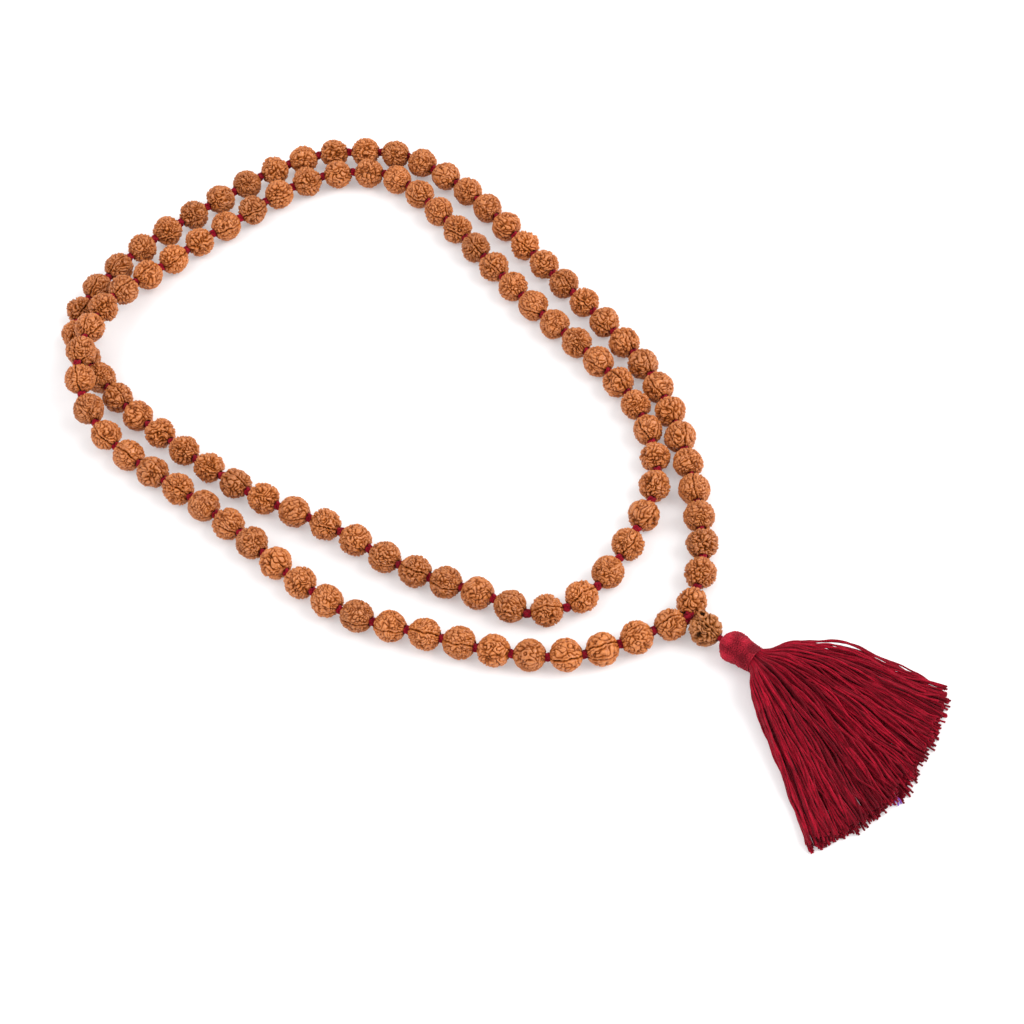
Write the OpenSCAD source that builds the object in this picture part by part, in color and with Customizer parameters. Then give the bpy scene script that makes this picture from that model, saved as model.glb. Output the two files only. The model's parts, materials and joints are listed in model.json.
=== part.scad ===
// Mala: a closed strand of 108 knotted seed beads with a guru bead and a tassel.
// It lies on a flat surface at z = 0, doubled over itself into a long loop.
// +X runs towards the tassel, +Z is up, and the origin is the middle of the footprint.

/* [Beads] */
// Diameter of a counter bead across its ribs
bead_d = 8; // [7.4:0.1:8]
// Diameter of the guru bead
guru_d = 8.2; // [7.6:0.1:8.4]

/* [Cord and knots] */
// Diameter of the stringing cord
cord_d = 1; // [0.7:0.1:1.2]
// Diameter of the knot between two beads
knot_d = 2.4; // [1.8:0.1:2.6]
// Diameter of the gathering knot where both ends of the strand meet
gather_d = 3; // [2.4:0.1:3.2]
// Radial clearance between the cord and a bead's bore
bore_gap = 0.08; // [0.04:0.01:0.1]
// Gap between a knot and the hollow that a bead has around it
knot_gap = 0.15; // [0.1:0.05:0.25]

/* [Tassel] */
// Length of the tassel head, from the guru bead to the waist
head_len = 11.4; // [10:0.2:13]
// Widest diameter of the tassel head
head_d = 8.8; // [7.6:0.2:9]
// Diameter of the waist where the skirt starts
waist_d = 6.8; // [6:0.2:7.6]
// Length of the skirt threads below the waist
skirt_len = 49; // [40:1:56]
// Height of the pile of threads where it is thickest
skirt_h = 6.4; // [5:0.2:7]

/* [Hidden] */
bead_r = bead_d / 2;
guru_r = guru_d / 2;
cord_r = cord_d / 2;
knot_r = knot_d / 2;
gather_r = gather_d / 2;
bore_r = cord_r + bore_gap;
// Gap between parts that turn on one another, or that lie inside one another
pivot_gap = 0.1;
// A piece of cord ends this far short of a knot's centre, inside the knot
in_knot = knot_r / 2;

// Height of the cord where the beads rest on the surface
rest_z = bead_r;

// The strand bends on lines across it, parallel to Y, at these places
fold_x = [-77, -40, 5.5, 29.5, 57];

// Route of the cord: from the gathering knot round the loop twice and back to it.
// The third number is its rise above rest height, where it crosses over itself.
gather = [67, 4.5, 0.4];
route = [
  gather,
  [fold_x[4], -20, 0], [44, -33, 0], [fold_x[3], -41.5, 0], [fold_x[2], -54, 0],
  [fold_x[1], -58.5, 0], [fold_x[0], -64, 0],
  [-91, -63, 3.5], [-104, -55.5, 7.5], [-118, -36.5, 4],
  [-121.5, -16, 0], [-121, 8, 0], [-118, 35, 0], [-103, 51.5, 0],
  [fold_x[0], 51.5, 0], [fold_x[1], 47, 0], [fold_x[2], 43.5, 0], [fold_x[3], 31, 0],
  [38.5, 16, 0], [45, -8, 0], [40, -21, 0],
  [fold_x[3], -25, 0], [fold_x[2], -35, 0], [-15, -39.5, 0], [fold_x[1], -48, 0],
  [fold_x[0], -53.5, 0],
  [-98, -53.5, 0], [-121, -47.5, 0], [-130.5, -25, 0], [-131.5, 3, 0],
  [-126.5, 38, 0], [-109, 58.5, 0], [-93, 62.5, 0],
  [fold_x[0], 63, 0], [fold_x[1], 58.5, 0], [-20, 56.5, 0], [fold_x[2], 52, 0],
  [fold_x[3], 40.5, 0], [fold_x[4], 20, 0],
  gather
];

// Each section of the strand: the route point where it starts and its number of beads.
// The sections meet at the gathering knot and on the fold lines, so a knot lies on each.
sections = [
  [0, 3], [1, 4], [3, 3], [4, 5], [5, 4], [6, 19], [14, 4], [15, 5], [16, 3], [17, 7],
  [21, 3], [22, 5], [24, 4], [25, 21], [33, 4], [34, 5], [36, 3], [37, 4], [38, 2]
];
route_last = len(route) - 1;
section_last = len(sections) - 1;
steps = 16;

// Smooth curve through the route points, with tangents weighted by the spans' lengths
function clamped(i) = max(0, min(route_last, i));
function span(i) = norm(route[clamped(i + 1)] - route[clamped(i)]);
function tangent(i) = (route[clamped(i + 1)] - route[clamped(i - 1)]) / (span(i - 1) + span(i));
function on_span(i, t) =
  let (h = span(i), t2 = t * t, t3 = t * t * t)
  (2 * t3 - 3 * t2 + 1) * route[i] + (t3 - 2 * t2 + t) * h * tangent(i)
  + (3 * t2 - 2 * t3) * route[i + 1] + (t3 - t2) * h * tangent(i + 1);
function on_route(u) = let (i = min(floor(u), route_last - 1)) on_span(i, u - i);

// Distance along one section against the route parameter, and a place found from it
function section_start(s) = sections[s][0];
function section_end(s) = s < section_last ? sections[s + 1][0] : route_last;
function section_table(s) =
  let (a = section_start(s), n = (section_end(s) - a) * steps)
  [for (i = 0, d = 0; i <= n;
        d = d + norm(on_route(a + (i + 1) / steps) - on_route(a + i / steps)), i = i + 1)
    [d, a + i / steps]];
function section_knots(s) =
  let (table = section_table(s), whole = table[len(table) - 1][0], n = sections[s][1])
  [for (k = [0:n - 1]) on_surface(on_route(lookup(whole * k / n, table)))];

// The strand never sinks below its rest height
function on_surface(p) = [p[0], p[1], max(0, p[2])];

// Knot 0 and the last knot are both the gathering knot, and bead b lies after knot b - 1
lift = [0, 0, rest_z];
knots = [for (s = [0:section_last], k = section_knots(s)) k + lift, gather + lift];
bead_total = len(knots) - 1;
first_knot = [for (s = 0, k = 0; s <= section_last; k = k + sections[s][1], s = s + 1) k];

// The tassel hangs on one straight line from the gathering knot through the guru bead
pendant_turn = 9;
guru_reach = 5.6;
hanger_knot_r = 0.9;
hanger_knot_proud = 0.3;
pivot_reach = guru_reach + guru_r + hanger_knot_proud;
waist_reach = pivot_reach + head_len;
stop_depth = 4.6;
stop_reach = pivot_reach + stop_depth;
root_r = 2.9;

beads_alone_near = [for (b = [1:10]) b];
beads_alone_back = [for (b = [100:bead_total]) b];
beads_alone = concat(beads_alone_near, beads_alone_back);

// Beads that share a node: name, first bead, last bead
bead_groups = [
  ["beads_middle_outer_front", 11, 15],
  ["beads_far_outer_front", 16, 19],
  ["beads_end_crossing_over", 20, 25],
  ["beads_end_inner", 26, 38],
  ["beads_far_inner_back", 39, 42],
  ["beads_middle_inner_back", 43, 47],
  ["beads_near_inner_back", 48, 50],
  ["beads_inner_turn", 51, 57],
  ["beads_near_inner_front", 58, 60],
  ["beads_middle_inner_front", 61, 65],
  ["beads_far_inner_front", 66, 69],
  ["beads_end_crossing_under", 70, 76],
  ["beads_end_outer", 77, 90],
  ["beads_far_outer_back", 91, 94],
  ["beads_middle_outer_back", 95, 99]
];

// Knotted cord of each slice between two fold lines: name and the sections in it.
// The fold's knot stays with the slice nearer the middle, so a section lists its free ends.
cord_slices = [
  ["cord_middle", [[3, 1, 1], [7, 1, 1], [11, 1, 1], [15, 1, 1]]],
  ["cord_far", [[4, 0, 1], [6, 1, 0], [12, 0, 1], [14, 1, 0]]],
  ["cord_end_turn", [[5, 0, 0], [13, 0, 0]]],
  ["cord_near", [[2, 1, 0], [8, 0, 1], [10, 1, 0], [16, 0, 1]]],
  ["cord_inner_turn", [[1, 1, 0], [9, 0, 0], [17, 0, 1]]]
];
cord_names = [for (c = cord_slices) c[0]];
group_names = [for (g = bead_groups) g[0]];
alone_names = [for (b = beads_alone) str("bead_", b)];
tassel_names = ["cord_guru_end", "gathering_knot", "guru_bead", "hanger_cord", "hanger_knot",
  "tassel_cord", "stop_knot", "tassel_core", "head_winding", "skirt_core", "tassel_skirt"];

// Puts a child that stands on +Z onto the line from point a towards point b
module along(a, b) {
  d = b - a;
  translate(a) rotate([0, acos(d[2] / norm(d)), atan2(d[1], d[0])]) children();
}

// Puts a child that stands on +Z onto the pendant's line, a given reach from the gathering knot
module on_pendant(reach) {
  translate(gather + lift) rotate([0, 90, pendant_turn]) translate([0, 0, reach]) children();
}

// Half section of a bead: a ball with a bore and a round hollow for the knot at each end
module bead_section(r, half, hollow_r, hollow_top_r, half_top) {
  difference() {
    circle(r = r, $fn = 64);
    translate([-2 * r, -2 * r]) square([2 * r + bore_r, 4 * r]);
    translate([0, -half]) circle(r = hollow_r, $fn = 48);
    translate([0, half_top]) circle(r = hollow_top_r, $fn = 48);
  }
}

// Counter bead b, strung between its two knots
module bead(b) {
  a = knots[b - 1];
  c = knots[b];
  half = norm(c - a) / 2;
  hollow = knot_r + knot_gap;
  wide_hollow = gather_r + knot_gap;
  color("peru")
    along((a + c) / 2, c)
      rotate_extrude($fn = 64)
        bead_section(bead_r, half, b == 1 ? wide_hollow : hollow,
                     b == bead_total ? wide_hollow : hollow, half);
}

module bead_group(g) {
  for (b = [g[1]:g[2]]) bead(b);
}

// Straight piece of cord between two points, drawn back at each end by a gap
module cord_piece(a, b, gap_a, gap_b) {
  color("crimson")
    along(a, b)
      translate([0, 0, gap_a])
        cylinder(r = cord_r, h = norm(b - a) - gap_a - gap_b, $fn = 32);
}

// Knot k between two beads, turned square to the strand
module knot(k) {
  d = knots[k + 1] - knots[k - 1];
  color("crimson")
    translate(knots[k]) rotate([0, 0, atan2(d[1], d[0]) + 90]) sphere(r = knot_r, $fn = 32);
}

// One section of knotted cord; a free end stops just clear of the next slice's knot
module cord_section(s, owns_start, owns_end) {
  first = first_knot[s];
  last = first + sections[s][1];
  clear = knot_r + pivot_gap;
  union() {
    for (k = [first:last - 1])
      cord_piece(knots[k], knots[k + 1],
                 k == first && owns_start == 0 ? clear : in_knot,
                 k + 1 == last && owns_end == 0 ? clear : in_knot);
    for (k = [first + 1 - owns_start:last - 1 + owns_end]) knot(k);
  }
}

module cord_slice(c) {
  for (s = c[1]) cord_section(s[0], s[1], s[2]);
}

// The two ends of the strand run from the last fold line into the gathering knot
module cord_guru_end() {
  clear = knot_r + pivot_gap;
  last_front = sections[0][1] - 1;
  start_back = bead_total - sections[section_last][1];
  union() {
    for (k = [0:last_front]) cord_piece(knots[k], knots[k + 1], k == 0 ? gather_r : in_knot,
                                        k == last_front ? clear : in_knot);
    for (k = [1:last_front]) knot(k);
  }
  union() {
    for (k = [start_back:bead_total - 1])
      cord_piece(knots[k], knots[k + 1], k == start_back ? clear : in_knot,
                 k == bead_total - 1 ? gather_r : in_knot);
    for (k = [start_back + 1:bead_total - 1]) knot(k);
  }
}

module gathering_knot() {
  color("crimson") translate(gather + lift) sphere(r = gather_r, $fn = 32);
}

// Guru bead, free to turn on the hanger cord
module guru_bead() {
  color("sienna")
    on_pendant(guru_reach)
      rotate_extrude($fn = 64)
        bead_section(guru_r, guru_reach, gather_r + knot_gap, hanger_knot_r + knot_gap,
                     pivot_reach - guru_reach);
}

// Cord from the gathering knot through the guru bead
module hanger_cord() {
  start = gather_r + pivot_gap;
  stop = pivot_reach - hanger_knot_r - pivot_gap;
  color("crimson") on_pendant(start) cylinder(r = cord_r, h = stop - start, $fn = 32);
}

// Knot between the guru bead and the tassel, which the tassel swings and lifts on
module hanger_knot() {
  color("crimson") on_pendant(pivot_reach) sphere(r = hanger_knot_r, $fn = 32);
}

// Outline of the tassel head: a domed top, full cheeks and a straight taper to its mouth
dome_r = 1.6;
dome_at = 1;
cheek_r = 3.4;
cheek_at = 4.2;
core_wall = 0.9;
mouth_gap = 1.2;
swing_gap = 0.3;
core_top = 2.2;
module head_outline(inset) {
  mouth = head_len - mouth_gap;
  intersection() {
    hull() {
      translate([head_d / 2 - cheek_r, cheek_at]) circle(r = cheek_r - inset, $fn = 48);
      translate([0, dome_at + inset]) square([dome_r, 1]);
      translate([0, mouth - 1]) square([waist_d / 2 - inset, 1]);
    }
    square([head_d / 2, mouth]);
  }
}

// Wound cover of the tassel head, a shell over the core, open at the waist
module head_winding() {
  color("crimson")
    on_pendant(pivot_reach)
      rotate_extrude($fn = 64)
        difference() {
          head_outline(0);
          head_outline(core_wall);
          square([hanger_knot_r + swing_gap, cheek_at]);
          translate([0, head_len]) circle(r = root_r + knot_gap, $fn = 48);
        }
}

// Folded threads inside the head, hollow where the stop knot sits
module tassel_core() {
  fit = core_wall + pivot_gap;
  color("firebrick")
    on_pendant(pivot_reach)
      rotate_extrude($fn = 64)
        difference() {
          head_outline(fit);
          square([bore_r, stop_depth]);
          square([head_d / 2, core_top]);
          translate([0, stop_depth]) circle(r = knot_r + pivot_gap / 2, $fn = 48);
          translate([0, head_len]) circle(r = root_r + knot_gap, $fn = 48);
        }
}

// The tassel's own loop, from its top down to the stop knot
module tassel_cord() {
  start = pivot_reach + hanger_knot_r + pivot_gap;
  color("crimson")
    on_pendant(start) cylinder(r = cord_r, h = stop_reach - knot_r - start, $fn = 32);
}

module stop_knot() {
  color("crimson") on_pendant(stop_reach) sphere(r = knot_r, $fn = 32);
}

// Round root of the skirt, seated in the waist of the head
module skirt_core() {
  color("firebrick")
    intersection() {
      on_pendant(waist_reach) sphere(r = root_r, $fn = 48);
      on_pendant(waist_reach - root_r) cylinder(r = 2 * root_r, h = root_r, $fn = 48);
    }
}

// Skirt: a fan of threads lying flat, widening from the waist to the cut ends. Its pile is
// thickest out to a share of its length, and lowest at the cut ends.
root_stub = 0.5;
thick_reach = 0.5;
ends_h = 1.6;
module tassel_skirt() {
  color("firebrick")
    hull() {
      on_pendant(waist_reach) cylinder(r = root_r, h = root_stub, $fn = 32);
      skirt_layer(1, ends_h);
      skirt_layer(thick_reach, skirt_h);
    }
}

// Outline of the spread skirt, from the waist: its front side, the cut ends and its back side
waist = gather + lift + waist_reach * [cos(pendant_turn), sin(pendant_turn), 0];
front_side = [[2, -6], [10, -10.5], [23, -17]];
back_side = [[33, 26], [13, 18], [4, 11]];
ends_front = -32;
ends_back = 34;
ends_step = 11;
ends_slant = 3.5;
function cut_end(a) =
  (skirt_len - ends_slant * (a - ends_front) / (ends_back - ends_front)) * [cos(a), sin(a)];
module skirt_layer(reach, high) {
  translate([waist[0], waist[1], 0])
    linear_extrude(high)
      polygon(reach * concat(front_side,
                             [for (a = [ends_front:ends_step:ends_back]) cut_end(a)], back_side));
}

cord_guru_end();
gathering_knot();
guru_bead();
hanger_cord();
hanger_knot();
tassel_cord();
stop_knot();
tassel_core();
head_winding();
skirt_core();
tassel_skirt();
for (c = cord_slices) cord_slice(c);
for (b = beads_alone) bead(b);
for (g = bead_groups) bead_group(g);
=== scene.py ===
import json
import math

import bpy
import numpy as np
from mathutils import Matrix, Vector


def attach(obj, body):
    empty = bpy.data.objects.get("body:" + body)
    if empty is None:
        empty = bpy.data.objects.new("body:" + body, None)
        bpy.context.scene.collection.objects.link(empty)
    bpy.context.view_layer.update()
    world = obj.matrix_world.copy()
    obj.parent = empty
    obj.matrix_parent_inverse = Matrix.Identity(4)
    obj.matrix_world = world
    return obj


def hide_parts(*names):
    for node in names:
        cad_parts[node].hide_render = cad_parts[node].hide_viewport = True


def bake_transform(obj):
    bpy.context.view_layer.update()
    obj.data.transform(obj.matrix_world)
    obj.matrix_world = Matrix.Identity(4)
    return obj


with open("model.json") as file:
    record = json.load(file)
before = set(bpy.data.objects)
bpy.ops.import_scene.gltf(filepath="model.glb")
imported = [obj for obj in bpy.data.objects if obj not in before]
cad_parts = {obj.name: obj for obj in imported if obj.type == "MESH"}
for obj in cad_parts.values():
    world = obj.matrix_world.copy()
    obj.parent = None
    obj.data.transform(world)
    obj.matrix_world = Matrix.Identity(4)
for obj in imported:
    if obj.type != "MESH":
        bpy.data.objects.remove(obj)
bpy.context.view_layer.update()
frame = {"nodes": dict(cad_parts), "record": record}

# ---------------------------------------------------------------- sizes, in millimetres
MM = 0.001
BEAD_R = 4.0
GURU_R = 4.1
KNOT_R = 1.2
GATHER_R = 1.5
HANGER_KNOT_R = 0.9
# How far the hanger knot's centre stands out of the guru bead
HANGER_KNOT_PROUD = 0.3
CORD_R = 0.48
BORE_R = 0.58
# Gap between a knot and the hollow of the bead that it sits in
KNOT_GAP = 0.15
# Height of the strand's centre line where it lies on the surface
REST_Z = 4.0
HEAD_LEN = 11.4
SKIRT_LEN = 49.0
THREAD_R = 0.24

# ---------------------------------------------------------------- camera, as the object was seen
DISTANCE = 523.3
target = Vector((12.95, -4.12, 4.0)) * MM
view_dir = Vector((-0.4870, 0.3524, -0.7992)).normalized()
flat_right = Vector((0.5863, 0.8101, 0.0)).normalized()
flat_up = flat_right.cross(view_dir)
roll = math.radians(7.22)
image_right = flat_right * math.cos(roll) - flat_up * math.sin(roll)
image_up = flat_right * math.sin(roll) + flat_up * math.cos(roll)
camera = bpy.data.objects.new("camera", bpy.data.cameras.new("camera"))
bpy.context.scene.collection.objects.link(camera)
camera.data.lens = 72.8
camera.data.sensor_width = 36.0
camera.data.clip_end = 20.0
axes = Matrix((image_right, image_up, -view_dir)).transposed()
camera.matrix_world = Matrix.Translation(target - view_dir * DISTANCE * MM) @ axes.to_4x4()
bpy.context.scene.camera = camera

# ---------------------------------------------------------------- route of the strand
# The same route as the CAD's: from the gathering knot round the loop twice and back to it.
FOLD_X = (-77, -40, 5.5, 29.5, 57)
GATHER = (67, 4.5, 0.4)
ROUTE = np.array([
    GATHER,
    (FOLD_X[4], -20, 0), (44, -33, 0), (FOLD_X[3], -41.5, 0), (FOLD_X[2], -54, 0),
    (FOLD_X[1], -58.5, 0), (FOLD_X[0], -64, 0),
    (-91, -63, 3.5), (-104, -55.5, 7.5), (-118, -36.5, 4),
    (-121.5, -16, 0), (-121, 8, 0), (-118, 35, 0), (-103, 51.5, 0),
    (FOLD_X[0], 51.5, 0), (FOLD_X[1], 47, 0), (FOLD_X[2], 43.5, 0), (FOLD_X[3], 31, 0),
    (38.5, 16, 0), (45, -8, 0), (40, -21, 0),
    (FOLD_X[3], -25, 0), (FOLD_X[2], -35, 0), (-15, -39.5, 0), (FOLD_X[1], -48, 0),
    (FOLD_X[0], -53.5, 0),
    (-98, -53.5, 0), (-121, -47.5, 0), (-130.5, -25, 0), (-131.5, 3, 0),
    (-126.5, 38, 0), (-109, 58.5, 0), (-93, 62.5, 0),
    (FOLD_X[0], 63, 0), (FOLD_X[1], 58.5, 0), (-20, 56.5, 0), (FOLD_X[2], 52, 0),
    (FOLD_X[3], 40.5, 0), (FOLD_X[4], 20, 0),
    GATHER,
], float)
# Where each section starts on the route, and its number of beads
SECTIONS = (
    (0, 3), (1, 4), (3, 3), (4, 5), (5, 4), (6, 19), (14, 4), (15, 5), (16, 3), (17, 7),
    (21, 3), (22, 5), (24, 4), (25, 21), (33, 4), (34, 5), (36, 3), (37, 4), (38, 2),
)
LAST = len(ROUTE) - 1
STEPS = 16


def span(i):
    a, b = (ROUTE[min(max(k, 0), LAST)] for k in (i, i + 1))
    return np.linalg.norm(b - a)


def tangent(i):
    a, b = (ROUTE[min(max(k, 0), LAST)] for k in (i - 1, i + 1))
    return (b - a) / (span(i - 1) + span(i))


def on_route(u):
    i = min(int(u), LAST - 1)
    t, h = u - i, span(i)
    return (
        (2 * t**3 - 3 * t**2 + 1) * ROUTE[i]
        + (t**3 - 2 * t**2 + t) * h * tangent(i)
        + (3 * t**2 - 2 * t**3) * ROUTE[i + 1]
        + (t**3 - t**2) * h * tangent(i + 1)
    )


def strand_knots():
    """Every knot's centre, the gathering knot first and last; bead b lies between b - 1 and b."""
    ends = [s[0] for s in SECTIONS[1:]] + [LAST]
    knots = []
    for (first, beads), last in zip(SECTIONS, ends):
        places = first + np.arange((last - first) * STEPS + 1) / STEPS
        points = np.array([on_route(u) for u in places])
        gaps = np.linalg.norm(np.diff(points, axis=0), axis=1)
        distance = np.concatenate([[0.0], np.cumsum(gaps)])
        for k in range(beads):
            knots.append(on_route(np.interp(distance[-1] * k / beads, distance, places)))
    knots.append(ROUTE[-1])
    knots = np.array(knots)
    knots[:, 2] = np.maximum(knots[:, 2], 0) + REST_Z
    return knots


KNOTS = strand_knots()
BEADS = len(KNOTS) - 1
# The pendant lies on one straight line from the gathering knot; its reaches are distances along it
PENDANT_TURN = math.radians(9)
GURU_REACH = 5.6
PIVOT_REACH = GURU_REACH + GURU_R + HANGER_KNOT_PROUD
WAIST_REACH = PIVOT_REACH + HEAD_LEN
ALONG = np.array([math.cos(PENDANT_TURN), math.sin(PENDANT_TURN), 0.0])
ACROSS = np.array([-math.sin(PENDANT_TURN), math.cos(PENDANT_TURN), 0.0])
UP = np.array([0.0, 0.0, 1.0])


def on_pendant(reach):
    """The point of the pendant's line at a distance from the gathering knot."""
    return KNOTS[0] + reach * ALONG


# ---------------------------------------------------------------- mesh helpers
def make_piece(name, points, faces, material, values=None):
    """A smooth-shaded mesh from points in millimetres; values are named numbers, one per point."""
    mesh = bpy.data.meshes.new(name)
    mesh.vertices.add(len(points))
    mesh.vertices.foreach_set("co", (np.asarray(points) * MM).astype(np.float32).ravel())
    sizes = np.concatenate([np.full(len(f), f.shape[1]) for f in faces])
    corners = np.concatenate([f.ravel() for f in faces])
    mesh.loops.add(len(corners))
    mesh.loops.foreach_set("vertex_index", corners.astype(np.int32))
    mesh.polygons.add(len(sizes))
    starts = np.concatenate([[0], np.cumsum(sizes)[:-1]])
    mesh.polygons.foreach_set("loop_start", starts.astype(np.int32))
    mesh.polygons.foreach_set("use_smooth", np.ones(len(sizes), bool))
    for key, numbers in (values or {}).items():
        attribute = mesh.attributes.new(key, "FLOAT", "POINT")
        attribute.data.foreach_set("value", np.asarray(numbers, np.float32))
    mesh.update(calc_edges=True)
    mesh.validate()
    mesh.materials.append(material)
    piece = bpy.data.objects.new(name, mesh)
    bpy.context.scene.collection.objects.link(piece)
    return piece


def grid_faces(rings, sides, close_rings=False):
    """Quads of a grid of rings, each ring closed on itself; optionally the last joins the first."""
    ring = np.arange(rings if close_rings else rings - 1)[:, None]
    side = np.arange(sides)[None, :]
    after = (ring + 1) % rings
    beside = (side + 1) % sides
    corners = [ring * sides + side, ring * sides + beside, after * sides + beside, after * sides + side]
    return np.stack([c + np.zeros_like(ring * side) for c in corners], axis=-1).reshape(-1, 4)


def turned_to(direction):
    """Rotation rows that carry local x, y, z to a frame whose z is the direction."""
    z = direction / np.linalg.norm(direction)
    x = np.cross(UP if abs(z[2]) < 0.9 else ACROSS, z)
    x /= np.linalg.norm(x)
    return np.array([x, np.cross(z, x), z])


def tubes(paths, radii, sides, lobes=2, twist=2.6, depth=0.16, start=None):
    """Plied tubes along paths of one length: points, faces, distance along each and its index.
    The section has lobes that wind once round in every twist millimetres."""
    count, rings, _ = paths.shape
    steps = np.gradient(paths, axis=1)
    heading = steps / np.linalg.norm(steps, axis=2, keepdims=True)
    gaps = np.linalg.norm(np.diff(paths, axis=1), axis=2)
    travelled = np.concatenate([np.zeros((count, 1)), np.cumsum(gaps, axis=1)], axis=1)
    side = np.cross(heading[:, 0], UP) + 1e-6
    sides_at = np.empty_like(paths)
    for i in range(rings):
        side = side - (side * heading[:, i]).sum(1, keepdims=True) * heading[:, i]
        side /= np.linalg.norm(side, axis=1, keepdims=True)
        sides_at[:, i] = side
    over = np.cross(heading, sides_at)
    angle = 2 * math.pi * np.arange(sides) / sides
    phase = 0.0 if start is None else start[:, None, None]
    wind = 2 * math.pi * travelled[:, :, None] / twist + phase
    swell = 1 + depth * np.cos(lobes * (angle[None, None, :] - wind))
    radius = (radii[..., None] * swell)[..., None]
    ring_points = paths[:, :, None] + radius * (
        np.cos(angle)[:, None] * sides_at[:, :, None] + np.sin(angle)[:, None] * over[:, :, None]
    )
    caps = np.stack([paths[:, 0] - 0.3 * radii[:, :1] * heading[:, 0],
                     paths[:, -1] + 0.3 * radii[:, -1:] * heading[:, -1]], axis=1)
    each = rings * sides + 2
    points = np.concatenate([ring_points.reshape(count, -1, 3), caps], axis=1)
    quads = grid_faces(rings, sides)[:, ::-1]
    turn = np.arange(sides)
    nxt = (turn + 1) % sides
    first = np.stack([np.full(sides, rings * sides), turn, nxt], axis=1)
    top = (rings - 1) * sides
    last = np.stack([np.full(sides, rings * sides + 1), top + nxt, top + turn], axis=1)
    offset = (np.arange(count) * each)[:, None, None]
    faces = [(quads[None] + offset).reshape(-1, 4),
             (np.concatenate([first, last])[None] + offset).reshape(-1, 3)]
    along = np.concatenate([np.repeat(travelled, sides, axis=1), travelled[:, [0, -1]]], axis=1)
    return points.reshape(-1, 3), faces, along.ravel(), np.repeat(np.arange(count), each)


def joined(parts):
    """Several (points, faces, values) as one."""
    points, quads, tris, values, start = [], [], [], {}, 0
    for p, faces, v in parts:
        for f in faces:
            (quads if f.shape[1] == 4 else tris).append(f + start)
        points.append(p)
        start += len(p)
        for key in v:
            values.setdefault(key, []).append(v[key])
    faces = [np.concatenate(f) for f in (quads, tris) if f]
    return np.concatenate(points), faces, {k: np.concatenate(v) for k, v in values.items()}


def waves(rng, points, length, count=44):
    """A smooth random field of unit spread whose features repeat about every length millimetres."""
    ways = rng.normal(size=(count, 3))
    ways /= np.linalg.norm(ways, axis=1, keepdims=True)
    ways *= 2 * math.pi / length * rng.uniform(0.8, 1.2, (count, 1))
    return np.cos(points @ ways.T + rng.uniform(0, 2 * math.pi, count)).sum(1) * math.sqrt(2 / count)


def smooth_step(low, high, x):
    t = np.clip((x - low) / (high - low), 0, 1)
    return t * t * (3 - 2 * t)


# ---------------------------------------------------------------- materials
def link(tree, a, b):
    tree.links.new(a, b)


def new_material(name, roughness, sheen=0.0, specular=0.5):
    material = bpy.data.materials.new(name)
    material.use_nodes = True
    shader = material.node_tree.nodes["Principled BSDF"]
    shader.inputs["Roughness"].default_value = roughness
    shader.inputs["Sheen Weight"].default_value = sheen
    shader.inputs["Specular IOR Level"].default_value = specular
    return material, material.node_tree, shader


def number(tree, name):
    """A named number of the mesh, as a socket."""
    node = tree.nodes.new("ShaderNodeAttribute")
    node.attribute_name = name
    return node.outputs["Fac"]


def math_node(tree, operation, a, b=None):
    node = tree.nodes.new("ShaderNodeMath")
    node.operation = operation
    for socket, value in zip(node.inputs, (a, b)):
        if value is None:
            continue
        if isinstance(value, (int, float)):
            socket.default_value = value
        else:
            link(tree, value, socket)
    return node.outputs[0]


def noise(tree, scale, detail=3.0):
    """Noise that runs over the object's own coordinates; scale is in features per metre."""
    place = tree.nodes.new("ShaderNodeTexCoord")
    node = tree.nodes.new("ShaderNodeTexNoise")
    node.inputs["Scale"].default_value = scale
    node.inputs["Detail"].default_value = detail
    link(tree, place.outputs["Object"], node.inputs["Vector"])
    return node.outputs["Fac"]


def ramp(tree, value, stops):
    node = tree.nodes.new("ShaderNodeValToRGB")
    while len(node.color_ramp.elements) < len(stops):
        node.color_ramp.elements.new(0.5)
    for element, (place, colour) in zip(node.color_ramp.elements, stops):
        element.position = place
        element.color = (*colour, 1)
    link(tree, value, node.inputs["Fac"])
    return node.outputs["Color"]


def tinted(tree, colour, tone, dark, light):
    """A colour multiplied by a grey that runs from dark to light with tone, 0 to 1."""
    scale = tree.nodes.new("ShaderNodeMapRange")
    scale.inputs["To Min"].default_value = dark
    scale.inputs["To Max"].default_value = light
    link(tree, tone, scale.inputs["Value"])
    node = tree.nodes.new("ShaderNodeVectorMath")
    node.operation = "SCALE"
    link(tree, colour, node.inputs[0])
    link(tree, scale.outputs["Result"], node.inputs["Scale"])
    return node.outputs["Vector"]


def bump(tree, shader, height, distance, strength=1.0):
    node = tree.nodes.new("ShaderNodeBump")
    node.inputs["Distance"].default_value = distance * MM
    node.inputs["Strength"].default_value = strength
    link(tree, height, node.inputs["Height"])
    link(tree, node.outputs["Normal"], shader.inputs["Normal"])


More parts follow.
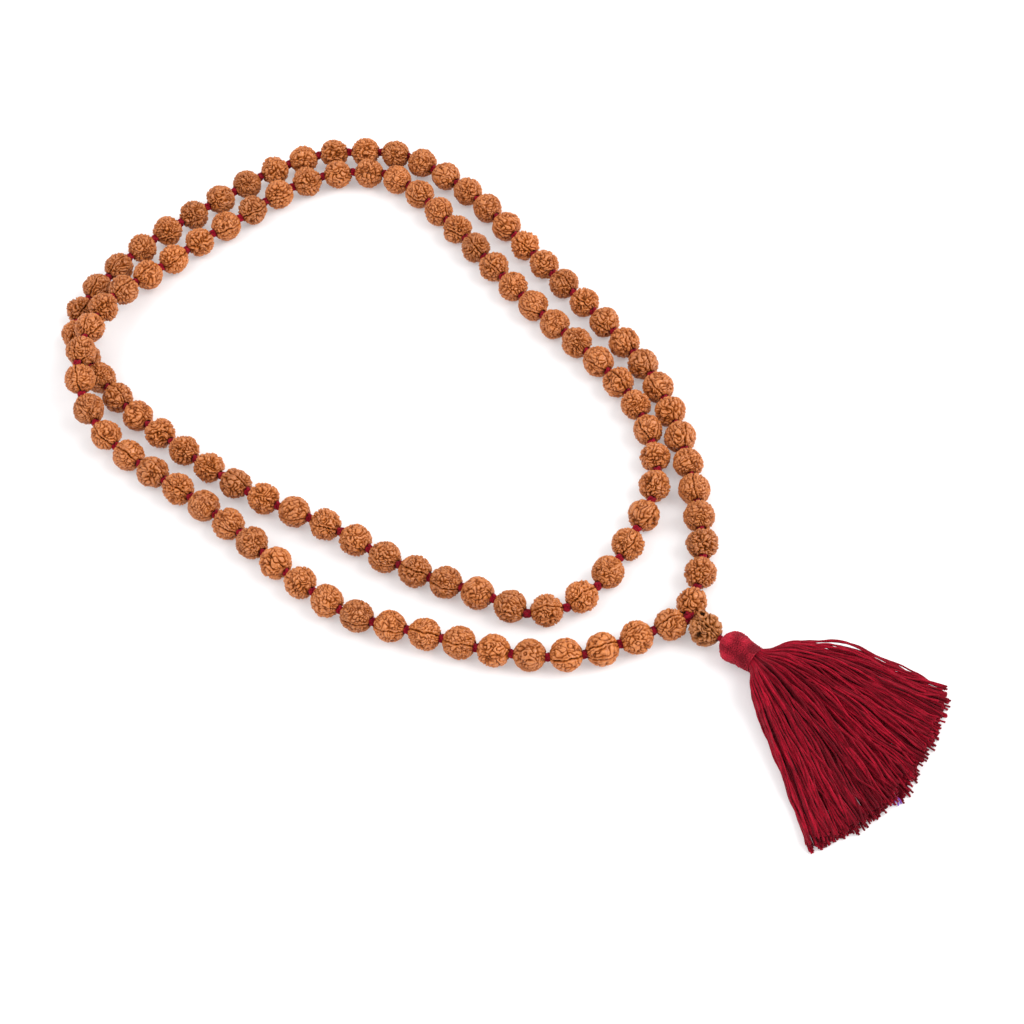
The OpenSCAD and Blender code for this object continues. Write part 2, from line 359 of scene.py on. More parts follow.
def seed_material(name, deep, mid, high, roughness):
    """Ribbed seed shell: colour by height on the relief, dark in the crevices as painted shade and light on
    the rib tops as painted highlight, with mottling and a fine grain.
    """
    material, tree, shader = new_material(name, roughness, specular=0.5)
    mottle = noise(tree, 700, 4.0)
    height = math_node(tree, "ADD", number(tree, "height"),
                       math_node(tree, "MULTIPLY", math_node(tree, "SUBTRACT", mottle, 0.5), 0.5))
    # painted shade and highlight: the colour runs from deep in the crevices to high on the rib tops
    colour = ramp(tree, height, ((0.0, deep), (0.42, mid), (0.9, high)))
    link(tree, tinted(tree, colour, number(tree, "tone"), 0.74, 1.18), shader.inputs["Base Color"])
    # crevices are dull, and rubbed rib tops catch the light
    link(tree, math_node(tree, "MULTIPLY", math_node(tree, "POWER", number(tree, "height"), 1.5), 0.75),
         shader.inputs["Specular IOR Level"])
    grain = noise(tree, 5200, 2.0)
    bump(tree, shader, grain, 0.05, 0.7)
    return material


def thread_material(name, dark, light, twist, roughness=0.75, grooves=0.06):
    """Plied cotton: fine slanting fibres along each thread, and lighter and darker threads."""
    material, tree, shader = new_material(name, roughness, sheen=0.2, specular=0.1)
    shader.inputs["Specular Tint"].default_value = (1.0, 0.35, 0.4, 1.0)
    fibre = math_node(tree, "SINE", math_node(tree, "MULTIPLY", number(tree, "along"), 2 * math.pi / twist))
    fuzz = noise(tree, 3800, 3.0)
    mix = math_node(tree, "ADD", math_node(tree, "MULTIPLY", fibre, 0.07),
                    math_node(tree, "MULTIPLY", fuzz, 0.9))
    colour = ramp(tree, mix, ((0.15, dark), (0.75, light)))
    link(tree, tinted(tree, colour, number(tree, "tone"), 0.44, 1.43), shader.inputs["Base Color"])
    shader.inputs["Sheen Tint"].default_value = (1.0, 0.35, 0.42, 1.0)
    shader.inputs["Sheen Roughness"].default_value = 0.5
    bump(tree, shader, mix, grooves, 0.8)
    return material


SEED = seed_material("seed_shell", (0.036, 0.007, 0.0015), (0.315, 0.077, 0.011), (0.56, 0.176, 0.038), 0.34)
GURU = seed_material("guru_shell", (0.026, 0.010, 0.005), (0.27, 0.080, 0.014), (0.52, 0.178, 0.042), 0.36)
CORD = thread_material("knotted_cord", (0.07, 0.001, 0.003), (0.37, 0.008, 0.024), 0.8)
HEAD = thread_material("wound_thread", (0.15, 0.003, 0.010), (0.43, 0.017, 0.034), 0.5)
SKIRT = thread_material("skirt_thread", (0.09, 0.0005, 0.003), (0.37, 0.005, 0.022), 4.0)
FIBRE = thread_material("purple_fibre", (0.10, 0.03, 0.24), (0.30, 0.11, 0.58), 0.5)

# ---------------------------------------------------------------- seed beads
LONS = 150
OUTER_RINGS = 76
HOLLOW_RINGS = 4
# Depths and pitches of the ribs from bead to bead, and how often each depth comes
RIB_DEPTHS = (0.65, 0.9, 1.2)
DEPTH_SHARES = (0.3, 0.4, 0.3)
RIB_PITCHES = (1.1, 1.3, 1.55)
# How far the ribs wander, and over what length
WARP = 0.24
WARP_LENGTH = 2.6
# Sizes and lengths of the fine grain and of the broad lumps
GRAIN = 0.02
GRAIN_LENGTH = 0.42
LUMP = 0.07
LUMP_LENGTH = 6.0
# The clefts that run from hole to hole
GROOVES = 5
GROOVE_DEPTH = 0.6
GROOVE_WIDTH = 0.17
# The raised lips on both sides of a groove
LIP_AT = 0.5
LIP_WIDTH = 0.26


def seed_profile(radius, half_low, half_high, hollow_low, hollow_high):
    """Closed half section of a drilled bead: outer ring angles, and the rings of hollows and bore."""

    def rim(half, hollow):
        z = (half**2 + radius**2 - hollow**2) / (2 * half)
        return math.acos(min(1.0, z / radius))

    top, bottom = rim(half_high, hollow_high), math.pi - rim(half_low, hollow_low)
    outer = np.linspace(top, bottom, OUTER_RINGS)

    def hollow_rings(half, hollow, rim_angle):
        edge = np.array([radius * math.sin(rim_angle), radius * math.cos(rim_angle)])
        start = math.atan2(edge[0], half - edge[1])
        stop = math.asin(min(1.0, BORE_R / hollow))
        angles = np.linspace(start, stop, HOLLOW_RINGS + 1)[1:]
        return np.stack([hollow * np.sin(angles), half - hollow * np.cos(angles)], axis=1)

    up = hollow_rings(half_high, hollow_high, top)
    down = hollow_rings(half_low, hollow_low, math.pi - bottom) * (1, -1)
    inner = np.concatenate([down, up[::-1]])
    return outer, inner


def seed_relief(rng, points, theta, phi, radius, rib_depth, rib_pitch):
    """Height of the worm-like ribs, 0 to 1, and the outward offset in millimetres."""
    warp = np.stack([waves(rng, points, WARP_LENGTH, 16) for _ in range(3)], axis=1)
    bent = (points + WARP * warp) * (1, 1, rng.uniform(0.6, 0.95))

    def ribs_of(length, softness):
        field = np.sqrt(waves(rng, bent, length) ** 2 + 0.03)
        return np.clip((field / (field + softness) - 0.22) / 0.55, 0, 1)

    ribs = ribs_of(rib_pitch, 0.45) * (0.7 + 0.3 * ribs_of(0.6 * rib_pitch, 0.35))
    grain = waves(rng, points, GRAIN_LENGTH, 40)
    lines = rng.uniform(0, 2 * math.pi) + np.arange(GROOVES) * 2 * math.pi / GROOVES
    lines = lines + rng.normal(0, 0.07, GROOVES)
    bold = rng.choice([0.25, 1.0], GROOVES, p=[0.45, 0.55]) * rng.uniform(0.8, 1.0, GROOVES)
    groove, lips = np.zeros(len(points)), np.zeros(len(points))
    for line, strength in zip(lines, bold):
        wander = 0.08 * np.sin(2.2 * theta + rng.uniform(0, 6.3))
        wander = wander + 0.03 * np.sin(7 * theta + rng.uniform(0, 6.3))
        turn = np.abs((phi - line - wander + math.pi) % (2 * math.pi) - math.pi)
        gap = turn * np.sin(theta) * radius
        groove = np.maximum(groove, strength * np.exp(-((gap / GROOVE_WIDTH) ** 2)))
        lips = np.maximum(lips, strength * np.exp(-(((gap - LIP_AT) / LIP_WIDTH) ** 2)))
    ribs = np.maximum(ribs, 0.78 * lips)
    # this height sets the colour: it is low between the ribs and in the grooves, which paints shade into the
    # crevices and clefts
    height = np.clip(ribs * (1 - 0.9 * groove) + 0.06 * grain, 0, 1)
    offset = rib_depth * (ribs - 1) - GROOVE_DEPTH * groove + GRAIN * grain
    offset = offset + LUMP * waves(rng, points, LUMP_LENGTH, 16)
    return height, offset


def seed(rng, a, b, radius, rib_depth, rib_pitch, tone, low_hollow, high_hollow, low=None, high=None):
    """One drilled, ribbed seed strung from point a to point b: points, faces and values."""
    half = np.linalg.norm(b - a) / 2
    half_low = half if low is None else low
    half_high = half if high is None else high
    centre = (a + b) / 2 if low is None else a + half_low * (b - a) / np.linalg.norm(b - a)
    outer, inner = seed_profile(radius, half_low, half_high, low_hollow, high_hollow)
    phi = 2 * math.pi * np.arange(LONS) / LONS
    theta, turn = np.meshgrid(outer, phi, indexing="ij")
    theta, turn = theta.ravel(), turn.ravel()
    unit = np.stack([np.sin(theta) * np.cos(turn), np.sin(theta) * np.sin(turn), np.cos(theta)], axis=1)
    height, offset = seed_relief(rng, unit * radius, theta, turn, radius, rib_depth, rib_pitch)
    edge = smooth_step(0, 0.16, np.minimum(theta - outer[0], outer[-1] - theta))
    shell = unit * (radius + offset * (0.35 + 0.65 * edge))[:, None]
    rho, z = inner[:, :1], inner[:, 1:]
    hole = np.stack([rho * np.cos(phi), rho * np.sin(phi), z + 0 * phi], axis=-1).reshape(-1, 3)
    points = np.concatenate([shell, hole])
    # painted shade: the colour height falls towards the hole rims, and the hollows and bore are dark
    values = {
        "height": np.concatenate([height * (0.45 + 0.55 * edge), np.full(len(hole), 0.12)]),
        "tone": np.full(len(points), tone),
    }
    faces = grid_faces(OUTER_RINGS + len(inner), LONS, close_rings=True)
    return points @ turned_to(b - a) + centre, [faces], values


# Beads that pass close to another as the strand folds or as they spin
PASSING = (1, 48, 49, 50, 103, 108)


def counter_bead(b):
    """Counter bead b; its ribs' depth and pitch, its size and its tone vary a little from bead to bead."""
    rng = np.random.default_rng(1000 + b)
    hollow = KNOT_R + KNOT_GAP
    wide = GATHER_R + KNOT_GAP
    rib_depth = rng.choice(RIB_DEPTHS, p=DEPTH_SHARES) * rng.uniform(0.9, 1.1)
    centres = (KNOTS[1:] + KNOTS[:-1]) / 2
    others = np.abs(np.arange(BEADS) - b + 1) > 1
    room = np.linalg.norm(centres - centres[b - 1], axis=1)[others].min() / 2
    if b in PASSING:
        room = min(room, BEAD_R)
    return seed(
        rng, KNOTS[b - 1], KNOTS[b], min(BEAD_R * rng.uniform(1.035, 1.065), room), rib_depth,
        rng.choice(RIB_PITCHES) * rng.uniform(0.95, 1.05), np.clip(rng.normal(0.5, 0.15), 0, 1),
        wide if b == 1 else hollow, wide if b == BEADS else hollow,
    )


def bead_piece(name, numbers, node, body):
    """Counter beads of one node, by their numbers, as one piece."""
    points, faces, values = joined([counter_bead(b) for b in numbers])
    piece = make_piece(name, points, faces, SEED, values)
    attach(piece, body)
    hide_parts(node)


# First and last bead of each group node
BEAD_GROUPS = {
    "beads_middle_outer_front": (11, 15),
    "beads_far_outer_front": (16, 19),
    "beads_end_crossing_over": (20, 25),
    "beads_end_inner": (26, 38),
    "beads_far_inner_back": (39, 42),
    "beads_middle_inner_back": (43, 47),
    "beads_near_inner_back": (48, 50),
    "beads_inner_turn": (51, 57),
    "beads_near_inner_front": (58, 60),
    "beads_middle_inner_front": (61, 65),
    "beads_far_inner_front": (66, 69),
    "beads_end_crossing_under": (70, 76),
    "beads_end_outer": (77, 90),
    "beads_far_outer_back": (91, 94),
    "beads_middle_outer_back": (95, 99),
}
BODY_OF = {node: body for body, nodes in frame["record"]["behaviour"]["bodies"].items() for node in nodes}
# Most beads in one piece
MOST_BEADS = 7

for node, (first, last) in BEAD_GROUPS.items():
    numbers = list(range(first, last + 1))
    runs = [numbers[i:i + MOST_BEADS] for i in range(0, len(numbers), MOST_BEADS)]
    for run in runs:
        bead_piece(f"seeds_{run[0]}_to_{run[-1]}", run, node, BODY_OF[node])
for b in [*range(1, 11), *range(100, BEADS + 1)]:
    bead_piece(f"seed_{b}", [b], f"bead_{b}", f"bead_{b}")

# ---------------------------------------------------------------- guru bead
GURU_SHELL_R = 1.05 * GURU_R
GURU_RIB_DEPTH = 1.5
GURU_RIB_PITCH = 1.6
GURU_TONE = 0.3
# How far the end towards the tassel is worn down
GURU_WEAR = 0.25
# The ring of shell: its centre from the bead's, the way it faces, its reach and its thickness
NUB_AT = np.array([-1.72, 0.58, 4.3])
NUB_FACE = np.array([0.35, -0.25, 0.9])
NUB_REACH = 0.84
NUB_THICK = 0.37
NUB_POINTS = 40
NUB_SIDES = 12
# The stem that the ring stands on, dark as painted shade in the ring's hollow
STEM_R = 0.62
STEM_POINTS = 8
# The dark spot's place from the bead's centre
SPOT_AT = np.array([0.86, -3.36, 2.17])


def guru_mesh():
    """A rougher seed with a ring of shell standing on its upper side and a dark spot on its front."""
    rng = np.random.default_rng(77)
    centre = on_pendant(GURU_REACH)
    points, faces, values = seed(
        rng, on_pendant(0), on_pendant(PIVOT_REACH), GURU_SHELL_R, GURU_RIB_DEPTH, GURU_RIB_PITCH, GURU_TONE,
        GATHER_R + KNOT_GAP, HANGER_KNOT_R + KNOT_GAP, GURU_REACH, PIVOT_REACH - GURU_REACH,
    )
    away = points - centre
    unit = away / np.linalg.norm(away, axis=1, keepdims=True)
    on_shell = smooth_step(2.4, 3.4, np.linalg.norm(away, axis=1))
    from_nub, from_spot = (
        GURU_R * np.arccos(np.clip(unit @ way / np.linalg.norm(way), -1, 1)) for way in (NUB_AT, SPOT_AT))
    # the end towards the tassel is worn smooth, clear of the head as it swings
    worn = GURU_SHELL_R - GURU_WEAR * smooth_step(0.35, 0.65, unit @ ALONG)
    away = unit * np.minimum(np.linalg.norm(away, axis=1), worn)[:, None]
    points = centre + away + (0.1 * on_shell * np.exp(-((from_nub / 1.2) ** 2)))[:, None] * unit
    # painted shade round the ring's hollow, and the seed's own dark spot on its front
    values["height"] *= smooth_step(0.5, 1.0, from_nub) * smooth_step(0.45, 1.0, from_spot)
    turn = np.linspace(0, 2 * math.pi, NUB_POINTS)
    reach = NUB_REACH + 0.1 * np.sin(2 * turn + 1)
    ring = np.stack([reach * np.cos(turn), reach * np.sin(turn), 0.12 * np.sin(3 * turn)], axis=1)
    ring = ring @ turned_to(NUB_FACE) + centre + NUB_AT
    face = NUB_FACE / np.linalg.norm(NUB_FACE)
    stem = centre + NUB_AT + face * np.linspace(-1.3, -0.15, STEM_POINTS)[:, None]
    stem_points, stem_faces, _, _ = tubes(stem[None], np.full((1, STEM_POINTS), STEM_R), NUB_SIDES, depth=0.0)
    # painted shade: the stem grows darker deeper inside the ring's hollow
    stem_painted_shade = 0.6 * smooth_step(0.4, 1.1, (centre + NUB_AT - stem_points) @ face)
    stem_values = {"height": stem_painted_shade, "tone": np.full(len(stem_points), 0.0)}
    thick = NUB_THICK + 0.06 * np.sin(5 * turn)
    ring_points, ring_faces, _, _ = tubes(ring[None], thick[None], NUB_SIDES, depth=0.0)
    ring_height = 0.62 + 0.3 * waves(rng, ring_points, 0.9)
    ring_values = {"height": np.clip(ring_height, 0.2, 1), "tone": np.full(len(ring_points), GURU_TONE)}
    return joined([(points, faces, values), (ring_points, ring_faces, ring_values),
                   (stem_points, stem_faces, stem_values)])


guru_points, guru_faces, guru_values = guru_mesh()
guru = make_piece("guru_seed", guru_points, guru_faces, GURU, guru_values)
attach(guru, "guru")
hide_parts("guru_bead")

# ---------------------------------------------------------------- knots and cord
KNOT_RINGS = 44
CORD_RINGS = 22
CORD_SIDES = 9
# The gathering knot is two knots drawn together: their places from its centre, and their sizes
GATHER_FIRST = (0.1, -0.5, 0.1)
GATHER_SECOND = (0.0, 0.9, 0.5)
GATHER_FIRST_R = 1.35
GATHER_SECOND_R = 1.1
# A little slimmer than its hollow's knot, clear of the tassel's cord as it swings
HANGER_KNOT_LOOK_R = 0.85


def knot_mesh(rng, centre, direction, radius):
    """A tight overhand knot: the cord winds round itself three times about the strand."""
    t = np.linspace(0, 2 * math.pi, KNOT_RINGS)
    size = (radius * 1.06 - CORD_R) / 3
    path = np.stack([
        size * (np.sin(t) + 2 * np.sin(2 * t)),
        size * (np.cos(t) - 2 * np.cos(2 * t)),
        -0.52 * radius * np.sin(3 * t),
    ], axis=1)
    spin = rng.uniform(0, 2 * math.pi)
    turn = np.array([[math.cos(spin), math.sin(spin), 0], [-math.sin(spin), math.cos(spin), 0], [0, 0, 1]])
    path = path @ turn @ turned_to(direction) + centre
    radii = np.full((1, KNOT_RINGS), CORD_R * rng.uniform(0.9, 1.02))
    points, faces, along, _ = tubes(path[None], radii, CORD_SIDES, lobes=3, twist=2.0, depth=0.14)
    return points, faces, {"along": along, "tone": np.full(len(points), rng.uniform(0.35, 0.75))}


def cord_mesh(rng, a, b, gap_a=0.0, gap_b=0.0):
    """A straight stretch of three-ply cord from a to b, less a gap at each end."""
    way = (b - a) / np.linalg.norm(b - a)
    path = np.linspace(a + gap_a * way, b - gap_b * way, CORD_RINGS)[None]
    radii = np.full((1, CORD_RINGS), CORD_R)
    points, faces, along, _ = tubes(path, radii, CORD_SIDES, lobes=3, twist=2.4, depth=0.12)
    return points, faces, {"along": along, "tone": np.full(len(points), rng.uniform(0.4, 0.6))}


def strand_way(k):
    """The way the strand runs at knot k."""
    return KNOTS[min(k + 1, BEADS)] - KNOTS[max(k - 1, 0)]


def section_mesh(section, owns_start, owns_end):
    """One section of the strand: its cord, and the knots that belong to it."""
    first = sum(s[1] for s in SECTIONS[:section])
    last = first + SECTIONS[section][1]
    parts = []
    for k in range(first, last):
        parts.append(cord_mesh(np.random.default_rng(3000 + k), KNOTS[k], KNOTS[k + 1]))
    for k in range(first if owns_start else first + 1, last + 1 if owns_end else last):
        parts.append(knot_mesh(np.random.default_rng(4000 + k), KNOTS[k], strand_way(k), KNOT_R))
    return parts


# Each slice's sections, and whether it owns the knots at their starts and ends
CORD_SLICES = {
    "cord_middle": ((3, 1, 1), (7, 1, 1), (11, 1, 1), (15, 1, 1)),
    "cord_far": ((4, 0, 1), (6, 1, 0), (12, 0, 1), (14, 1, 0)),
    "cord_end_turn": ((5, 0, 0), (13, 0, 0)),
    "cord_near": ((2, 1, 0), (8, 0, 1), (10, 1, 0), (16, 0, 1)),
    "cord_inner_turn": ((1, 1, 0), (9, 0, 0), (17, 0, 1)),
    "cord_guru_end": ((0, 0, 0), (18, 0, 0)),
}


def cord_piece(name, parts, node, body):
    """Stretches of cord and knots of one node as one piece."""
    points, faces, values = joined(parts)
    piece = make_piece(name, points, faces, CORD, values)
    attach(piece, body)
    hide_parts(node)


for node, slices in CORD_SLICES.items():
    parts = [part for s in slices for part in section_mesh(*s)]
    cord_piece("knotted_" + node, parts, node, BODY_OF[node])

gather_rng = np.random.default_rng(5)
cord_piece(
    "gathering_knot_cord",
    [
        knot_mesh(gather_rng, KNOTS[0] + GATHER_FIRST, KNOTS[1] - KNOTS[-2], GATHER_FIRST_R),
        knot_mesh(gather_rng, KNOTS[0] + GATHER_SECOND, ALONG, GATHER_SECOND_R),
    ],
    "gathering_knot", "guru_end",
)
cord_piece(
    "hanger_cord_thread",
    [cord_mesh(gather_rng, KNOTS[0], on_pendant(PIVOT_REACH), 0.8, 0.3)],
    "hanger_cord", "hanger",
)
cord_piece(
    "hanger_knot_cord",
    [knot_mesh(gather_rng, on_pendant(PIVOT_REACH), ALONG, HANGER_KNOT_LOOK_R)],
    "hanger_knot", "hanger_knot",
)

# ---------------------------------------------------------------- tassel head
HEAD_LONS = 260
HEAD_RINGS = 150
# Folds and threads round the dome, and the pitch of the turns that bind the collar
DOME_FOLDS = 9
DOME_THREADS = 38
WINDING_PITCH = 0.42
# Distances of the head's mouth, and of points on its outline with their radii, from the knot it hangs on
MOUTH = 10.3
HEAD_OUTLINE = ((0.4, 0.75), (0.68, 1.45), (1.3, 2.42), (2.4, 3.38), (3.8, 3.9), (5.2, 3.88),
                (6.3, 3.66), (8.2, 3.5), (MOUTH, 3.35))
# Points of its hollow, from the mouth inwards
HEAD_INSIDE = ((MOUTH - 0.1, 2.95), (MOUTH - 1.2, 2.9), (MOUTH - 3.0, 2.8), (MOUTH - 6, 2.2), (1.4, 0.6))


def smooth_curve(stops, count):
    """Points on a smooth curve through stops, evenly spaced by the stops' own distances."""
    stops = np.array(stops, float)
    gaps = np.linalg.norm(np.diff(stops, axis=0), axis=1)
    at = np.concatenate([[0.0], np.cumsum(gaps)])
    slopes = np.gradient(stops, at, axis=0)
    where = np.linspace(0, at[-1], count)
    i = np.clip(np.searchsorted(at, where, side="right") - 1, 0, len(gaps) - 1)
    h = gaps[i][:, None]
    t = ((where - at[i]) / gaps[i])[:, None]
    return (
        (2 * t**3 - 3 * t**2 + 1) * stops[i] + (t**3 - 2 * t**2 + t) * h * slopes[i]
        + (3 * t**2 - 2 * t**3) * stops[i + 1] + (t**3 - t**2) * h * slopes[i + 1]
    )


def head_mesh():
    """The wound head: threads fan out over the dome, and fine turns of thread bind the collar."""
    rng = np.random.default_rng(21)
    outer = smooth_curve(HEAD_OUTLINE, HEAD_RINGS)
    inner = np.array(HEAD_INSIDE)
    phi = 2 * math.pi * np.arange(HEAD_LONS) / HEAD_LONS
    z, rho = outer[:, :1], outer[:, 1:]
    collar = smooth_step(5.2, 7.4, z)
    lengthwise = np.abs(np.sin(DOME_THREADS * phi + 0.5 * np.sin(3 * phi) + 0.22 * z)) ** 0.7
    winding = np.abs(np.sin(math.pi * z / WINDING_PITCH + 0.5 * phi)) ** 0.7
    points = np.stack([rho * np.cos(phi), rho * np.sin(phi), z + 0 * phi], axis=-1).reshape(-1, 3)
    lumps = waves(rng, points, 4.0).reshape(rho.shape[0], -1)
    fuzz = waves(rng, points, 0.5).reshape(rho.shape[0], -1)
    folds = np.abs(np.sin(DOME_FOLDS * phi + 0.8 * np.sin(2 * phi + 1) + 0.3 * z)) ** 0.6
    folds = folds * (1 - smooth_step(1.0, 4.6, z))
    relief = (0.22 * folds + 0.07 * (1 - collar) * lengthwise + 0.007 * (0.4 + collar) * winding
              + 0.10 * lumps + 0.06 * fuzz - 0.1)
    rho = rho - 0.1 + relief * smooth_step(0.4, 1.6, rho)
    shell = np.stack([rho * np.cos(phi), rho * np.sin(phi), z + 0 * phi], axis=-1).reshape(-1, 3)
    inside = np.stack([inner[:, 1:] * np.cos(phi), inner[:, 1:] * np.sin(phi), inner[:, :1] + 0 * phi],
                      axis=-1).reshape(-1, 3)
    points = np.concatenate([shell, inside])
    rings = HEAD_RINGS + len(inner)
    faces = grid_faces(rings, HEAD_LONS, close_rings=True)[:, ::-1]
    along = np.repeat(np.concatenate([outer[:, 0], inner[:, 0]]), HEAD_LONS)
    # painted shade and light: the tone is darker in the folds and grooves and lighter on the raised threads,
    # and the hollow inside is dark as painted shade
    tone = np.concatenate([(0.52 + 2.6 * relief).ravel(), np.full(len(inside), 0.1)])
    values = {"along": along, "tone": np.clip(tone, 0, 1)}
    return points @ turned_to(ALONG) + on_pendant(PIVOT_REACH), [faces], values


head_points, head_faces, head_values = head_mesh()
head = make_piece("tassel_head_winding", head_points, head_faces, HEAD, head_values)
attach(head, "tassel_head")
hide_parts("head_winding")
# the hidden CAD solids of the head keep their shapes and take the threads' materials
for node, material in (("tassel_core", HEAD), ("tassel_cord", CORD), ("stop_knot", CORD)):
    frame["nodes"][node].data.materials.clear()
    frame["nodes"][node].data.materials.append(material)

# ---------------------------------------------------------------- tassel skirt
# Plan of the spread skirt, from the waist: its front side, its middle and its back side
FRONT_SIDE = ((-1.8, -2.3), (0.4, -3.4), (2.8, -5.9), (8.8, -9.4), (22.2, -16), (40.8, -25.9))
MIDDLE = ((-1.8, 0), (0.6, 0.2), (5, 0.9), (12, 1.8), (26, 1.4), (46, -1.4))
BACK_SIDE = ((-1.8, 2.3), (0.0, 3.8), (3.2, 8.8), (7.6, 13.7), (21.4, 21.0), (35.4, 27.0))
THREADS = 820
CLUMPS = 72
SKIRT_PIECES = 8
THREAD_RINGS = 84
THREAD_SIDES = 6
THREAD_TWIST = 4.0
# Numbers of threads that loop out past the back side and of threads that cross over the others
STRAYS = 5
CROSSING = 26
# Share of the pile, from its bottom, whose threads lie side by side
LOWEST = 0.17
# Share of each thread's length, 0 at the waist to 1 at its cut end
SHARE = np.linspace(0, 1, THREAD_RINGS)[None, :]


def fan(across):
    """Plan points from the waist of threads that lie across the fan, -1 at its front to 1 at its back."""
    front, middle, back = (smooth_curve(side, THREAD_RINGS) for side in (FRONT_SIDE, MIDDLE, BACK_SIDE))
    to_front, to_back = np.clip(-across, 0, None)[..., None], np.clip(across, 0, None)[..., None]
    plan = middle + to_front * (front - middle) + to_back * (back - middle)
    # the cut ends lie on an arc
    bow = 2.0 * 4 * np.abs(across) * (1 - np.abs(across)) * SHARE**2
    heading = np.gradient(plan, axis=1)
    return plan + np.clip(bow, 0, None)[..., None] * heading / np.linalg.norm(heading, axis=2, keepdims=True)


def pile_height(across, layer):
    """Heights of threads in the pile, layer 0 at its bottom to 1 at its top: high and puffed just
    outside the waist, thin at the cut ends."""
    out = SHARE * SKIRT_LEN
    mouth = 2.5 * np.sqrt(np.clip(1 - (0.9 * across) ** 2, 0.06, 1))
    flat = smooth_step(0.5, 8, out)
    bottom = (REST_Z + 0.4 - mouth) * (1 - flat) + THREAD_R * flat
    spread_top = 3.4 + 3.6 * (1 - smooth_step(6, 40, out)) - 0.9 * np.clip(-across, 0, None) ** 2
    spread_top = spread_top + 0.9 * np.exp(-(((out - 7) / 4.0) ** 2))
    rising = smooth_step(0, 6, out)
    top = (REST_Z + 0.4 + mouth) * (1 - rising) + spread_top * rising
    return bottom + layer * (top - bottom)


def waved(rng, count, low, high, reach, owner=None):
    """A sine wave along each thread; threads with the same owner share theirs."""
    length, phase = rng.uniform(low, high, count), rng.uniform(0, 2 * math.pi, count)
    size = rng.uniform(0.3, 1.0, count) * reach
    owner = np.arange(count) if owner is None else owner
    return size[owner][:, None] * np.sin(
        2 * math.pi * SHARE * SKIRT_LEN / length[owner][:, None] + phase[owner][:, None])


def thread_paths(rng):
    """Paths of the skirt's threads, in clumps that wander together, with a few strays over them."""
    spread = np.sort(rng.uniform(-1, 1, THREADS))
    layer = rng.permutation(np.linspace(0, 1, THREADS))
    columns = CLUMPS // 2
    clump = (np.round((spread + 1) / 2 * (columns - 1)) * 2 + (layer > 0.5)).astype(int)
    drift = rng.normal(0, 0.035, CLUMPS)[clump] + rng.normal(0, 0.02, THREADS)
    over = rng.choice(THREADS, CROSSING, replace=False)
    drift[over] = rng.uniform(-0.3, 0.3, CROSSING)
    layer[over] = rng.uniform(0.95, 1.04, CROSSING)
    across = np.clip(spread[:, None] + drift[:, None] * SHARE**1.3, -1.0, 1.0)
    # strays loop out past the back side
    loose = rng.choice(np.flatnonzero(spread > 0.9), STRAYS, replace=False)
    bulge = np.sin(math.pi * np.clip(SHARE**0.75 * 1.08, 0, 1)) ** 0.7
    across[loose] = 1 + np.linspace(0.03, 0.12, STRAYS)[:, None] * bulge
    layer[loose] = rng.uniform(0.8, 1.0, STRAYS)
    # the lowest threads lie side by side, so the surface under the skirt does not show
    lowest = layer < LOWEST
    across[lowest] = np.linspace(-0.98, 0.98, lowest.sum())[:, None]
    plan = fan(across)
    # each thread stops a little short or runs a little on, as cut
    cut = rng.normal(-0.012, 0.010, THREADS) + rng.normal(0, 0.012, CLUMPS)[clump] - 0.02 * layer
    plan = plan[:, :1] + (plan - plan[:, :1]) * (1 + cut[:, None] * SHARE**2)[..., None]
    grow = smooth_step(0.03, 0.3, SHARE)
    inside = 1 - 0.6 * np.abs(across)
    sway = grow * (inside * waved(rng, CLUMPS, 20, 45, 0.85, clump) * np.where(lowest, 0.15, 1)[:, None]
                   + waved(rng, THREADS, 9, 22, 0.28) + waved(rng, THREADS, 4, 8, 0.06))
    rise = grow * (waved(rng, CLUMPS, 18, 40, 0.75, clump) + waved(rng, THREADS, 7, 16, 0.22))
    heading = np.gradient(plan, axis=1)
    heading /= np.linalg.norm(heading, axis=2, keepdims=True)
    plan = plan + sway[..., None] * np.stack([-heading[..., 1], heading[..., 0]], axis=-1)
    height = pile_height(spread[:, None], layer[:, None]) + rise * (0.2 + 0.8 * layer[:, None])
    place = on_pendant(WAIST_REACH)
    height = np.maximum(height, THREAD_R + 0.02)
    return np.stack([place[0] + plan[..., 0], place[1] + plan[..., 1], height], axis=-1), clump


def skirt_pieces():
    """The skirt's plied threads in a few pieces, each a slice of the fan."""
    rng = np.random.default_rng(8)
    paths, clump = thread_paths(rng)
    tones = np.clip(0.5 + rng.normal(0, 0.16, CLUMPS)[clump] + rng.normal(0, 0.2, THREADS), 0, 1)
    radii = THREAD_R * rng.uniform(0.85, 1.1, THREADS)[:, None] * (1 + 0.1 * smooth_step(0.97, 1, SHARE))
    phases = rng.uniform(0, 2 * math.pi, THREADS)
    for n, chosen in enumerate(np.array_split(np.arange(THREADS), SKIRT_PIECES), 1):
        points, faces, along, which = tubes(
            paths[chosen], radii[chosen], THREAD_SIDES, 2, THREAD_TWIST, 0.05, phases[chosen])
        # painted shade: each thread darkens over its last 5 mm, towards its cut end
        ends = smooth_step(SKIRT_LEN - 5, SKIRT_LEN, along)
        values = {"along": along + THREAD_TWIST * phases[chosen][which],
                  "tone": np.clip(tones[chosen][which] - 0.3 * ends, 0, 1)}
        yield f"skirt_threads_{n}", points, faces, SKIRT, values


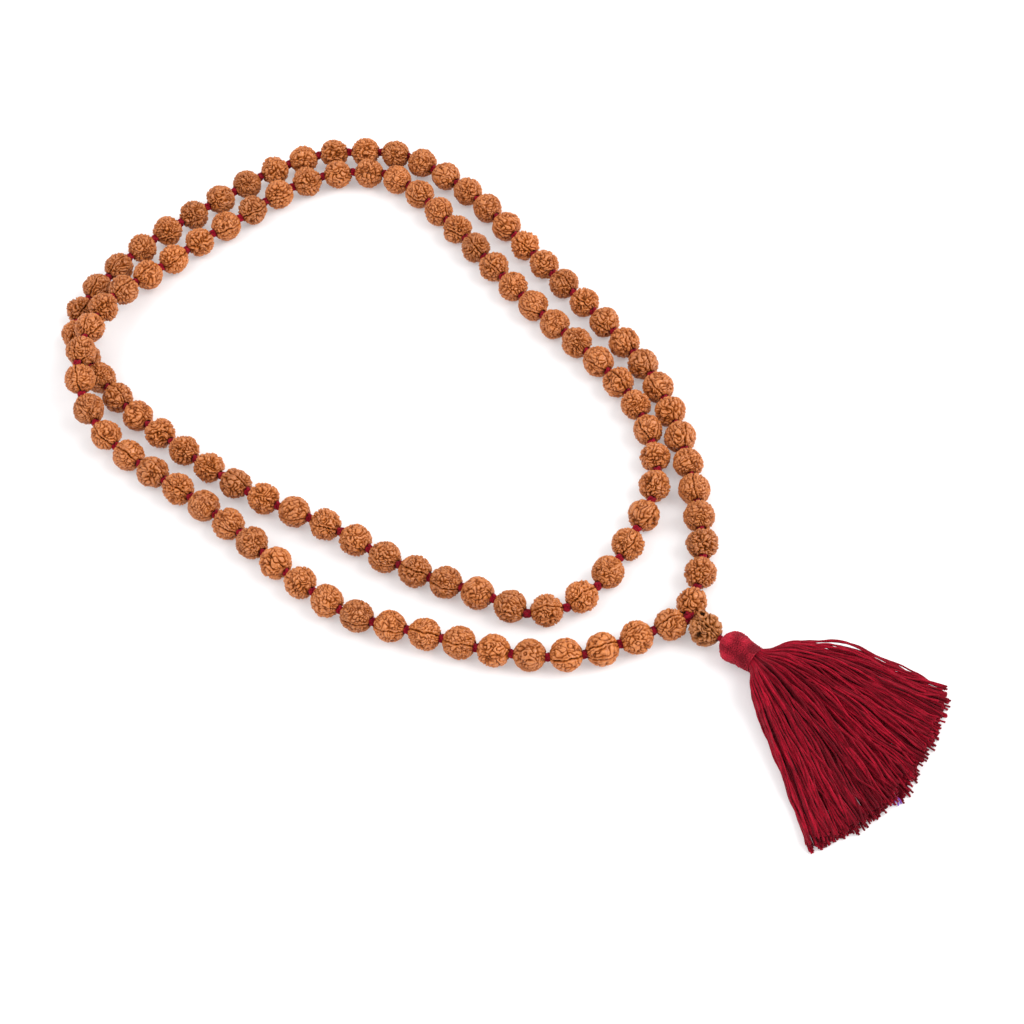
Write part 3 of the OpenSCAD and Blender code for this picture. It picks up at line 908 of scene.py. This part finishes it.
def fibre_piece():
    """A wisp of another colour caught among the cut ends."""
    place = on_pendant(WAIST_REACH) * (1, 1, 0)
    rings = 30
    start = ((41.0, -1.5, 0.7), (44.0, -2.2, 0.6))
    tips = (((45.9, -2.5, 0.5), (46.9, -3.3, 0.5)), ((46.2, -2.0, 0.4), (47.0, -2.4, 0.4)),
            ((45.6, -3.0, 0.6), (46.0, -4.0, 0.6)))
    paths = np.array([smooth_curve(start + tip, rings) for tip in tips]) + place
    points, faces, along, _ = tubes(paths, np.full((len(tips), rings), 0.2), THREAD_SIDES, 2, 1.2, 0.12)
    values = {"along": along, "tone": np.full(len(points), 0.6)}
    return "purple_wisp", points, faces, FIBRE, values


for name, points, faces, material, values in [*skirt_pieces(), fibre_piece()]:
    piece = make_piece(name, points, faces, material, values)
    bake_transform(piece)
    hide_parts("tassel_skirt", "skirt_core")

# ---------------------------------------------------------------- floor and light
FLOOR_HALF = 3.0
floor_mesh = bpy.data.meshes.new("floor")
corners = [(x * FLOOR_HALF, y * FLOOR_HALF, 0) for x, y in ((-1, -1), (1, -1), (1, 1), (-1, 1))]
floor_mesh.from_pydata(corners, [], [(0, 1, 2, 3)])
floor = bpy.data.objects.new("floor", floor_mesh)
bpy.context.scene.collection.objects.link(floor)
floor_material, _, floor_shader = new_material("floor_paper", 0.9, specular=0.1)
# painted light: the floor glows, which lifts the shadows cast on it; its own colour is darker to match
floor_shader.inputs["Base Color"].default_value = (0.70, 0.69, 0.69, 1)
floor_shader.inputs["Emission Color"].default_value = (1.0, 0.98, 1.0, 1)
floor_shader.inputs["Emission Strength"].default_value = 0.24
floor_mesh.materials.append(floor_material)

world = bpy.data.worlds.new("studio")
bpy.context.scene.world = world
world.use_nodes = True
world.node_tree.nodes["Background"].inputs["Color"].default_value = (1.0, 1.0, 1.0, 1)
world.node_tree.nodes["Background"].inputs["Strength"].default_value = 0.99
bpy.context.scene.view_settings.view_transform = "Standard"


def softbox(name, place, size, power):
    """A square soft light at a place, in metres, that faces the origin."""
    light = bpy.data.objects.new(name, bpy.data.lights.new(name, "AREA"))
    light.data.size = size
    light.data.energy = power
    light.location = place
    light.rotation_euler = (Vector(place) * -1).to_track_quat("-Z", "Y").to_euler()
    bpy.context.scene.collection.objects.link(light)


softbox("key_softbox", (0.9, 0.75, 1.1), 1.1, 19)
softbox("fill_softbox", (-0.5, -0.9, 1.3), 1.2, 7)
